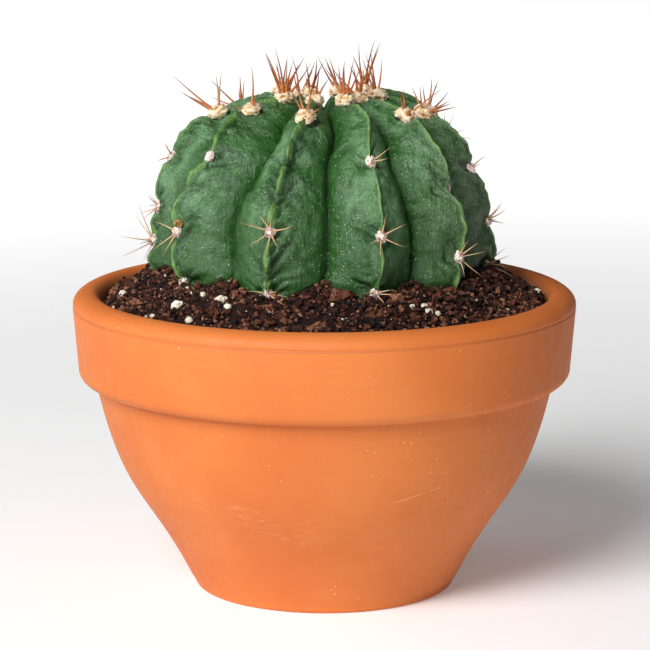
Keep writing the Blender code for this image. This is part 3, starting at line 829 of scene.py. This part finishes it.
# A place on the soil that is clear of the stem and the pot, or None
def soilSpot(bearing, radius, size, ground, rise, room=0.55):
    point = turnedPoint(radius, bearing, 0.14)
    hit = ground["soil"].ray_cast(point, Vector((0, 0, -1)))[0]
    if hit is None:
        return None
    point.z = hit.z + rise * size
    if radius > throatRadius(min(point.z, potForm["rimLine"])) - soilForm["sideGap"] - size * 0.9:
        return None
    nearest, normal = ground["stem"].find_nearest(point)[:2]
    if (point - nearest).dot(normal) < room * size:
        return None
    return point


def scatterLumps(settings, ground):
    draw = random.Random(settings["seed"])
    places = []
    while len(places) < settings["count"]:
        size = mix(*settings["size"], draw.random() ** 2)
        bearing = draw.uniform(0, math.tau)
        inner, outer = soilForm["crumbRing"]
        radius = math.sqrt(mix(inner ** 2, outer ** 2, draw.random()))
        point = soilSpot(bearing, radius, size, ground, draw.uniform(*settings["rise"]))
        if point:
            flat = draw.uniform(*settings["flat"])
            sizes = (size * draw.uniform(0.8, 1.3), size * draw.uniform(0.7, 1.1), size * flat)
            places.append((lumpPlace(point, sizes, draw), draw.random()))
    return gatherLumps(places, settings["fineness"], settings["roughness"])


crumbSettings = dict(count=9000, size=(0.00040, 0.00115), rise=(-0.3, 2.1), flat=(0.6, 1.0),
                     fineness=1, roughness=1.2, seed=21)
gritSettings = dict(count=9000, size=(0.00022, 0.00048), rise=(0.5, 4.2), flat=(0.6, 1.0),
                    fineness=1, roughness=1.2, seed=25)
clodSettings = dict(count=480, size=(0.0010, 0.0019), rise=(-0.1, 0.8), flat=(0.6, 0.9),
                    fineness=2, roughness=1.3, seed=22)
chipSettings = dict(count=120, size=(0.0008, 0.0018), rise=(0.3, 0.9), flat=(0.3, 0.6),
                    fineness=1, roughness=0.8, seed=23)
fineSettings = dict(count=130, size=(0.00030, 0.00062), rise=(1.0, 2.0), flat=(0.7, 1.0),
                    fineness=2, roughness=0.4, seed=24)

# Larger white grains: bearing from the front in degrees, then radius and half size in millimetres
grainPlaces = (
    (-79, 72.5, 1.9), (-45.4, 70.9, 2.1), (-33.6, 63.5, 1.9), (-30.3, 65.2, 1.4), (-41.9, 62.3, 1.1),
    (-38.9, 73.4, 1.2), (4.7, 69.0, 1.2), (2.5, 61.5, 0.8), (31.4, 65.1, 1.1), (33.8, 69.5, 1.0),
    (31.3, 68.5, 1.3), (27.3, 65.0, 0.9), (83.7, 76.0, 1.6), (-52.0, 75.0, 1.1), (60.0, 73.0, 0.9),
    (118, 71.0, 1.7), (139, 66.5, 1.3), (163, 72.0, 2.0), (188, 69.5, 1.1), (207, 74.0, 1.6),
    (226, 68.0, 1.9), (243, 73.0, 1.2), (101, 74.5, 1.2), (176, 66.0, 0.9),
)


grainSettings = dict(rise=0.65, room=-2.0, fineness=4, roughness=0.42, seed=31)


def makeGrains(finish, ground):
    settings = grainSettings
    draw = random.Random(settings["seed"])
    places = []
    for degrees, radius, size in grainPlaces:
        size /= 1000
        bearing = math.radians(degrees)
        point = soilSpot(bearing, radius / 1000, size, ground, settings["rise"], settings["room"])
        sizes = [size * draw.uniform(*span) for span in ((0.9, 1.15), (0.75, 1.0), (0.7, 0.9))]
        if point:
            places.append((lumpPlace(point, sizes, draw), draw.random()))
    bm = gatherLumps(places, settings["fineness"], settings["roughness"])
    finishPiece("perliteGrains", bm, [finish], ["soil"])


def crumbFinish(name, tones):
    crumb = Finish(name, {"Specular IOR Level": 0.36})
    tone = crumb.ramp(crumb.own("tone"), *tones)
    # painted shade: near-black patches standing in for shaded pits and gaps in the crumbs
    shadedPits = crumb.fade(crumb.grain(1500, 4, 0.8), 0.42, 0.60, 0.0, 0.85)
    tone = crumb.blend(shadedPits, tone, (0.010, 0.003, 0.002))
    crumb.feed("Base Color", tone)
    crumb.feed("Roughness", crumb.fade(crumb.grain(900, 3), 0.40, 0.60, 0.32, 0.90))
    crumb.feed("Normal", crumb.bump(crumb.grain(2200, 4, 0.75), 0.0007, 1.0))
    return crumb


def soilFinish():
    soil = Finish("potting_soil", {"Specular IOR Level": 0.2})
    lumps = soil.grain(650, 4, 0.7)
    tone = soil.ramp(lumps, (0.35, (0.004, 0.002, 0.002)), (0.68, (0.030, 0.012, 0.008)))
    soil.feed("Base Color", tone)
    soil.feed("Roughness", soil.fade(soil.grain(500, 2), 0.3, 0.7, 0.8, 1.0))
    soil.feed("Normal", soil.bump(soil.grain(1200, 4, 0.7), 0.0010, 0.9))
    return soil


def perliteFinish():
    grain = Finish("perlite", {"Specular IOR Level": 0.25})
    shadedPits = grain.fade(grain.cells(1150), 0.10, 0.42)
    # painted shade: each grain is painted a darker tan in its pits
    tone = grain.blend(shadedPits, (0.50, 0.40, 0.28), (0.80, 0.74, 0.60))
    dirt = grain.fade(grain.grain(420, 3), 0.56, 0.72, 0.0, 0.5)
    grain.feed("Base Color", grain.blend(dirt, tone, (0.36, 0.20, 0.11)))
    grain.feed("Roughness", grain.fade(shadedPits, 0.0, 1.0, 0.95, 0.8))
    grain.feed("Normal", grain.bump(shadedPits + grain.grain(2600, 3) * 0.5, 0.0003, 0.7))
    return grain


# Areoles: a pad of wool on the crest with its spines. The tips of the spines come from the frame.

kinds = {
    "crown": dict(felt=(0.0036, 0.0031, 0.0024), radius=0.00052, warm=1.0, reach=0.0046),
    "wool": dict(felt=(0.0038, 0.0032, 0.0024), radius=0.00050, warm=0.85, reach=0.0046),
    "star": dict(felt=(0.0020, 0.0017, 0.0015), radius=0.00029, warm=0.15, reach=0.0028),
    "tuft": dict(felt=(0.0022, 0.0015, 0.0014), radius=0.00028, warm=0.40, reach=0.0028),
}

areoleDetail = dict(
    rootLevel=0.55,
    spread=0.42,
    seatDepth=0.0002,
    probe=0.01,
    feltLift=0.28,
    tuftRadius=0.00013,
    tuftRoot=0.92,
    fullFelt=0.0038,
    spineSides=8,
    spineRings=12,
    bend=0.045,
    swollen=1.45,
    stain=0.0010,
    feltSides=32,
    feltRings=18,
    feltRough=0.30,
    tufts=110,
    tuftLength=(0.0007, 0.0017),
    seed=40,
)


def areoleAxes(rib, angle):
    bearing = math.radians(ribBearing(rib, angle))
    normal = crestNormal(angle, ribs[rib][1] / 1000)
    out = Vector((normal.x * math.sin(bearing), -normal.x * math.cos(bearing), normal.y))
    across = Vector((math.cos(bearing), math.sin(bearing), 0.0))
    return Matrix((across, out.cross(across), out)).transposed()


def findSeat(rib, angle, out, stemSurface):
    outside = stemPoint(rib, angle, areoleDetail["probe"])
    return stemSurface.ray_cast(outside, -out)[0] - areoleDetail["seatDepth"] * out


# Seat of an areole on the skin, and the tips of its packed spines: the points that stand out
def readAreole(name, rib, angle, kind, stemSurface):
    axes = areoleAxes(rib, angle)
    out = axes.col[2]
    seat = findSeat(rib, angle, out, stemSurface)
    root = seat + areoleDetail["rootLevel"] * kinds[kind]["felt"][2] * out
    bm = bmesh.new()
    bm.from_mesh(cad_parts[name].data)
    bmesh.ops.remove_doubles(bm, verts=bm.verts, dist=0.000002)
    tips = []
    for vertex in bm.verts:
        reach = (vertex.co - root).length
        around = [edge.other_vert(vertex) for edge in vertex.link_edges]
        if reach > kinds[kind]["reach"] and all((other.co - root).length < reach for other in around):
            tips.append(vertex.co.copy())
    bm.free()
    tips.sort(key=lambda tip: (round(tip.x, 5), round(tip.y, 5), round(tip.z, 5)))
    return axes, seat, root, tips


def woolLayers(bm):
    return {key: bm.verts.layers.float.new(key) for key in ("wool", "run", "warm", "stain")}


def addWool(bm, layers, axes, seat, felt, young, draw, spines=()):
    halfLength, halfWidth, height = felt
    detail = areoleDetail
    sides, rings = detail["feltSides"], detail["feltRings"]
    made = bmesh.ops.create_uvsphere(bm, u_segments=sides, v_segments=rings, radius=1.0)
    shift = Vector((draw.uniform(0, 90), draw.uniform(0, 90), 0))
    lines = [(start, (tip - start).normalized()) for start, tip in spines]
    for vertex in made["verts"]:
        ball = vertex.co.copy()
        clumps = noise.noise(ball * 1.8 + shift) + 0.8 * noise.noise(ball * 4.2 + shift)
        clumps += 0.6 * noise.noise(ball * 9.0 + shift)
        ball *= 1 + detail["feltRough"] * clumps
        level = detail["feltLift"] + max(ball.z, 0.0)
        level += 0.9 * min(ball.z, 0.0)  # its foot is sunk in the skin
        local = Vector((ball.x * halfWidth, ball.y * halfLength, level * height))
        vertex.co = seat + axes @ local
        vertex[layers["wool"]] = 1.0
        # run follows the lumps of the felt, and the felt finish paints its low places darker as shade
        vertex[layers["run"]] = 0.5 + 0.45 * clumps
        vertex[layers["warm"]] = young
        gaps = [(vertex.co - start).cross(line).length for start, line in lines
                if (vertex.co - start).dot(line) > 0]
        vertex[layers["stain"]] = bell(min(gaps, default=1.0), detail["stain"])
    for number in range(detail["tufts"]):  # short loose fibres round the pad
        turn = draw.uniform(0, math.tau)
        rise = math.asin(draw.uniform(0.0, 1.0))
        ball = Vector((math.cos(rise) * math.sin(turn), math.cos(rise) * math.cos(turn), math.sin(rise)))
        level = detail["feltLift"] + ball.z
        local = Vector((ball.x * halfWidth, ball.y * halfLength, level * height)) * detail["tuftRoot"]
        lean = ball + Vector((draw.uniform(-0.8, 0.8), draw.uniform(-0.8, 0.8), draw.uniform(-0.5, 0.5)))
        length = draw.uniform(*detail["tuftLength"]) * halfLength / detail["fullFelt"]
        start = seat + axes @ local
        tip = start + axes @ lean.normalized() * length
        drawSpike(bm, layers, start, tip, detail["tuftRadius"], young, (3, 3), 1.0, draw)


# A ball drawn out from root to tip: a tapered, slightly bent spike
def drawSpike(bm, layers, root, tip, radius, warm, fineness, wool, draw):
    line = tip - root
    length = line.length
    turn = line.to_track_quat("Z", "Y")
    lean = draw.uniform(0, math.tau)
    bend = areoleDetail["bend"] * length * draw.uniform(0.3, 1.0)
    bow = bend * Vector((math.cos(lean), math.sin(lean), 0))
    sides, rings = fineness
    made = bmesh.ops.create_uvsphere(bm, u_segments=sides, v_segments=rings, radius=1.0)
    for vertex in made["verts"]:
        part = round(math.acos(limit(-vertex.co.z, -1.0, 1.0)) / math.pi * rings) / rings
        flat = math.hypot(vertex.co.x, vertex.co.y)
        spread = Vector()
        if flat > 0.0001 and 0 < part < 1:
            spread = Vector((vertex.co.x, vertex.co.y, 0)) / flat
        swell = 1 + (areoleDetail["swollen"] - 1) * bell(part, 0.16)
        thickness = radius * swell * (1 - part) ** 0.85 * limit(part / 0.04)
        local = spread * thickness + bow * math.sin(math.pi * part) + Vector((0, 0, part * length))
        vertex.co = root + turn @ local
        vertex[layers["wool"]] = wool
        vertex[layers["run"]] = part if wool < 0.5 else 0.75
        vertex[layers["warm"]] = warm


def paintFaces(bm, layers):
    for face in bm.faces:
        face.material_index = 0 if face.verts[0][layers["wool"]] > 0.5 else 1


def makeAreole(rib, tier, feltFinish, spineFinish, stemSurface):
    angle, kind = ribs[rib][2][tier]
    name = f"areole_{rib + 1:02d}_{tier + 1}"
    settings = kinds[kind]
    draw = random.Random(areoleDetail["seed"] + 10 * rib + tier)
    axes, seat, root, tips = readAreole(name, rib, angle, kind, stemSurface)
    starts = []
    for tip in tips:
        lean = axes.transposed() @ (tip - root).normalized()
        spread = Vector((lean.x * settings["felt"][1], lean.y * settings["felt"][0], 0))
        starts.append(root + areoleDetail["spread"] * (axes @ spread))
    bm = bmesh.new()
    layers = woolLayers(bm)
    young = 1.0 if settings["warm"] > 0.5 else 0.0
    addWool(bm, layers, axes, seat, settings["felt"], young, draw, list(zip(starts, tips)))
    for start, tip in zip(starts, tips):
        radius = settings["radius"] * draw.uniform(0.85, 1.15)
        warm = limit(settings["warm"] + draw.uniform(-0.2, 0.2))
        fineness = (areoleDetail["spineSides"], areoleDetail["spineRings"])
        drawSpike(bm, layers, start, tip, radius, warm, fineness, 0.0, draw)
    paintFaces(bm, layers)
    bmesh.ops.recalc_face_normals(bm, faces=bm.faces)
    finishPiece(f"spinyAreole_{rib + 1:02d}_{tier + 1}", bm, [feltFinish, spineFinish], [name])
    return len(tips)


# Small worn pads with no spines left, in nicks of the crests: rib, angle and half length in millimetres
wornPads = ((2, 65, 1.7), (5, 64, 1.1))


def makeWornPads(finish, stemSurface):
    draw = random.Random(61)
    bm = bmesh.new()
    layers = woolLayers(bm)
    for rib, angle, size in wornPads:
        axes = areoleAxes(rib, angle)
        seat = findSeat(rib, angle, axes.col[2], stemSurface)
        size /= 1000
        addWool(bm, layers, axes, seat, (size, 0.75 * size, 0.5 * size), 0.0, draw)
    bmesh.ops.recalc_face_normals(bm, faces=bm.faces)
    finishPiece("wornPads", bm, [finish])


# Round tan scar beside an areole
scarForm = dict(centre=(-0.0505, -0.0337, 0.1363), radius=0.0017, height=0.0007, rim=0.0004,
                roughness=0.00010, sides=32, rings=24)


def makeScar(finish, stemSurface):
    form = scarForm
    seat, normal = stemSurface.find_nearest(Vector(form["centre"]))[:2]
    turn = normal.to_track_quat("Z", "Y")
    bm = bmesh.new()
    bmesh.ops.create_uvsphere(bm, u_segments=form["sides"], v_segments=form["rings"], radius=1.0)
    for vertex in bm.verts:
        reach = math.hypot(vertex.co.x, vertex.co.y)
        level = form["height"] * vertex.co.z
        level += form["rim"] * bell(reach - 0.78, 0.16) * limit(vertex.co.z * 4)
        level += form["roughness"] * noise.noise(vertex.co * 6)
        spread = vertex.co * form["radius"]
        vertex.co = seat + turn @ Vector((spread.x, spread.y, level))
    bmesh.ops.recalc_face_normals(bm, faces=bm.faces)
    finishPiece("scarDisc", bm, [finish])


def scarFinish():
    cork = Finish("cork_scar", {"Specular IOR Level": 0.2})
    fibres = cork.grain(1500, 4, 0.7, 1.0)
    tint = cork.ramp(fibres, (0.35, (0.170, 0.075, 0.022)), (0.62, (0.520, 0.310, 0.120)))
    cork.feed("Base Color", tint)
    cork.feed("Roughness", cork.fade(fibres, 0.3, 0.7, 0.75, 0.95))
    cork.feed("Normal", cork.bump(fibres, 0.0005, 0.8))
    return cork


def woolFinish():
    wool = Finish("areole_felt", {"Roughness": 0.95, "Specular IOR Level": 0.1})
    # painted shade: low places in the felt are painted orange-brown, high ones cream, for new and old
    # wool alike
    clumps = wool.grain(1000, 4, 0.7) * 0.5 + wool.own("run") * 0.5
    tint = wool.ramp(clumps, (0.35, (0.420, 0.170, 0.055)), (0.45, (0.860, 0.560, 0.290)),
                     (0.58, (1.000, 0.850, 0.630)))
    old = wool.ramp(clumps, (0.34, (0.420, 0.190, 0.130)), (0.45, (0.850, 0.640, 0.540)),
                    (0.58, (0.970, 0.900, 0.840)))
    tint = wool.blend(wool.own("warm"), old, tint)  # older wool is bleached
    tint = wool.blend(wool.fade(wool.own("stain"), 0.35, 0.95, 0.0, 0.8), tint, (0.270, 0.075, 0.018))
    wool.feed("Base Color", tint)
    fluff = wool.grain(2800, 4, 0.75)
    wool.feed("Normal", wool.bump(wool.grain(900, 3, 0.7) + fluff * 0.7, 0.0006, 0.8))
    return wool


def spineFinish():
    spine = Finish("spine", {"Specular IOR Level": 0.3})
    run = spine.own("run")
    young = spine.ramp(run, (0.0, (0.200, 0.050, 0.012)), (0.18, (0.480, 0.120, 0.022)),
                       (0.45, (0.330, 0.070, 0.012)), (0.75, (0.160, 0.028, 0.008)),
                       (1.0, (0.060, 0.018, 0.010)))
    old = spine.ramp(run, (0.0, (0.500, 0.230, 0.140)), (0.25, (0.680, 0.460, 0.290)),
                     (0.62, (0.640, 0.470, 0.210)), (1.0, (0.260, 0.110, 0.070)))
    tint = spine.blend(spine.own("warm"), old, young)
    bands = spine.grain(1100, 3, 0.6)
    tint = spine.blend(spine.fade(bands, 0.45, 0.75, 0.0, 0.4), tint, (0.720, 0.400, 0.160))
    spine.feed("Base Color", tint)
    spine.feed("Roughness", spine.fade(bands, 0.3, 0.7, 0.42, 0.62))
    spine.feed("Normal", spine.bump(bands, 0.0001, 0.4))
    return spine


# Stage: floor, light and camera at the height and distance of the view

def makeStage():
    view = dict(
        place=(0.0, -1.08993, 0.30426),
        pitch=10.9137,
        focal=171.14,
        sensor=36.0,
        imageSize=650,
        axisPixel=324.4,
        floorSize=9.0,
        floorGlow=(0.15, 0.75),
        glowReach=(0.3, 1.3),
        lights=dict(keyLight=((-1.34, -2.06, 1.82), 1.5, 116.0), fillLight=((-2.2, 0.5, 0.9), 1.2, 8.0)),
        sky=0.10,
    )
    scene = bpy.context.scene
    scene.view_settings.view_transform = "Standard"
    world = bpy.data.worlds.new("studio")
    world.use_nodes = True
    world.node_tree.nodes["Background"].inputs["Color"].default_value = (1.0, 1.0, 1.0, 1.0)
    world.node_tree.nodes["Background"].inputs["Strength"].default_value = view["sky"]
    scene.world = world
    for name, (place, size, power) in view["lights"].items():
        lamp = bpy.data.lights.new(name, "AREA")
        lamp.energy = power
        lamp.size = size
        light = bpy.data.objects.new(name, lamp)
        light.location = place
        light.rotation_euler = (Vector((0, 0, 0.1)) - Vector(place)).to_track_quat("-Z", "Y").to_euler()
        scene.collection.objects.link(light)
    bm = bmesh.new()
    bmesh.ops.create_grid(bm, x_segments=1, y_segments=1, size=view["floorSize"] / 2)
    mesh = meshFrom("floor", bm)
    paper = Finish("pale_floor", {"Base Color": (0.92, 0.92, 0.92, 1.0), "Roughness": 0.9,
                                  "Specular IOR Level": 0.1, "Emission Strength": 1.0})
    near = paper.near((0.0, 0.0, 0.0), *view["glowReach"])
    close, far = view["floorGlow"]
    paper.feed("Emission Color", paper.blend(near, (far, far, far), (close, close, close)))
    mesh.materials.append(paper.material)
    floor = bpy.data.objects.new("floor", mesh)
    scene.collection.objects.link(floor)
    lens = bpy.data.cameras.new("camera")
    lens.sensor_width = view["sensor"]
    lens.lens = view["focal"]
    lens.shift_x = (view["imageSize"] / 2 - view["axisPixel"]) / view["imageSize"]
    camera = bpy.data.objects.new("camera", lens)
    camera.location = view["place"]
    camera.rotation_euler = (math.radians(90.0 - view["pitch"]), 0.0, 0.0)
    scene.collection.objects.link(camera)
    scene.camera = camera


makeStage()
print("stage set")

makePot(terracottaFinish())
print("pot turned")

stemSurface = makeStem(skinFinish())
print("stem grown")

ground = {"soil": makeSoil(soilFinish()), "stem": stemSurface}
darkTones = ((0.0, (0.006, 0.002, 0.001)), (0.35, (0.050, 0.013, 0.007)), (0.72, (0.190, 0.052, 0.024)),
             (0.98, (0.560, 0.240, 0.130)))
gritTones = ((0.0, (0.006, 0.002, 0.001)), (0.45, (0.050, 0.013, 0.007)), (0.74, (0.280, 0.085, 0.042)),
             (0.97, (0.850, 0.480, 0.300)))
chipTones = ((0.0, (0.180, 0.050, 0.018)), (0.6, (0.440, 0.160, 0.055)), (1.0, (0.560, 0.330, 0.140)))
crumbs = crumbFinish("soil_crumbs", darkTones)
grit = crumbFinish("soil_grit", gritTones)
chips = crumbFinish("bark_chips", chipTones)
perlite = perliteFinish()
for name, settings, finish in (
    ("soilCrumbs", crumbSettings, crumbs),
    ("soilGrit", gritSettings, grit),
    ("soilClods", clodSettings, crumbs),
    ("barkChips", chipSettings, chips),
    ("perliteFines", fineSettings, perlite),
):
    finishPiece(name, scatterLumps(settings, ground), [finish], ["soil"], smooth=False)
makeGrains(perlite, ground)
print("soil filled")

wool = woolFinish()
spine = spineFinish()
spineCount = 0
for rib in range(len(ribs)):
    for tier in range(6):
        if ribs[rib][2][tier][1] in kinds:
            spineCount += makeAreole(rib, tier, wool, spine, stemSurface)
makeWornPads(wool, stemSurface)
makeScar(scarFinish(), stemSurface)
print("areoles grown with", spineCount, "spines")
